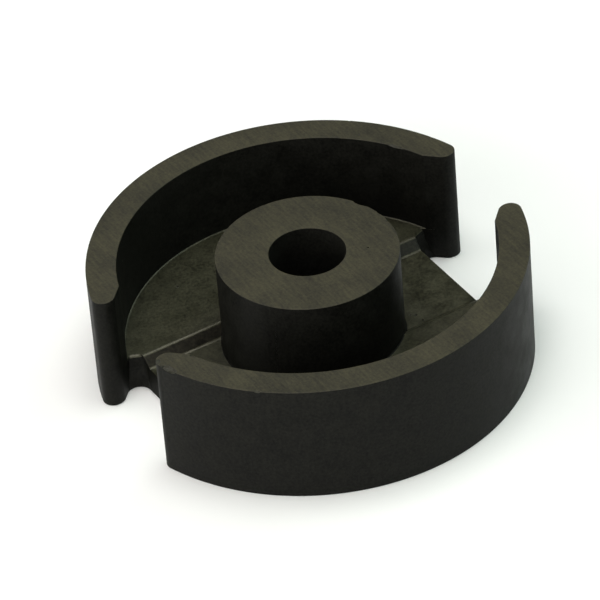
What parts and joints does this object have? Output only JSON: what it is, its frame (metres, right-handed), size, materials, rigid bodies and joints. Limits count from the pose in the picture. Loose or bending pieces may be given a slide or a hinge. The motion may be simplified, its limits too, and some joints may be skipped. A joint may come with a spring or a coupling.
{
  "type": "ferrite pot core half",
  "caption": "Round ferrite core half with a bored centre post, a ring wall split by two flared slots and a shallow channel in its floor.",
  "frame": {"origin": "centre of the base on its underside", "axes": "+Z along the centre post towards the ground mating faces, +X along the two slots and the channel"},
  "size_m": [0.0172, 0.018, 0.0053],
  "materials": {
    "ferrite": "sintered manganese-zinc ferrite, dark grey, smooth as fired with finely ground mating faces"
  },
  "bodies": {
    "root": {"pot_core_half": "ferrite"}
  },
  "joints": []
}
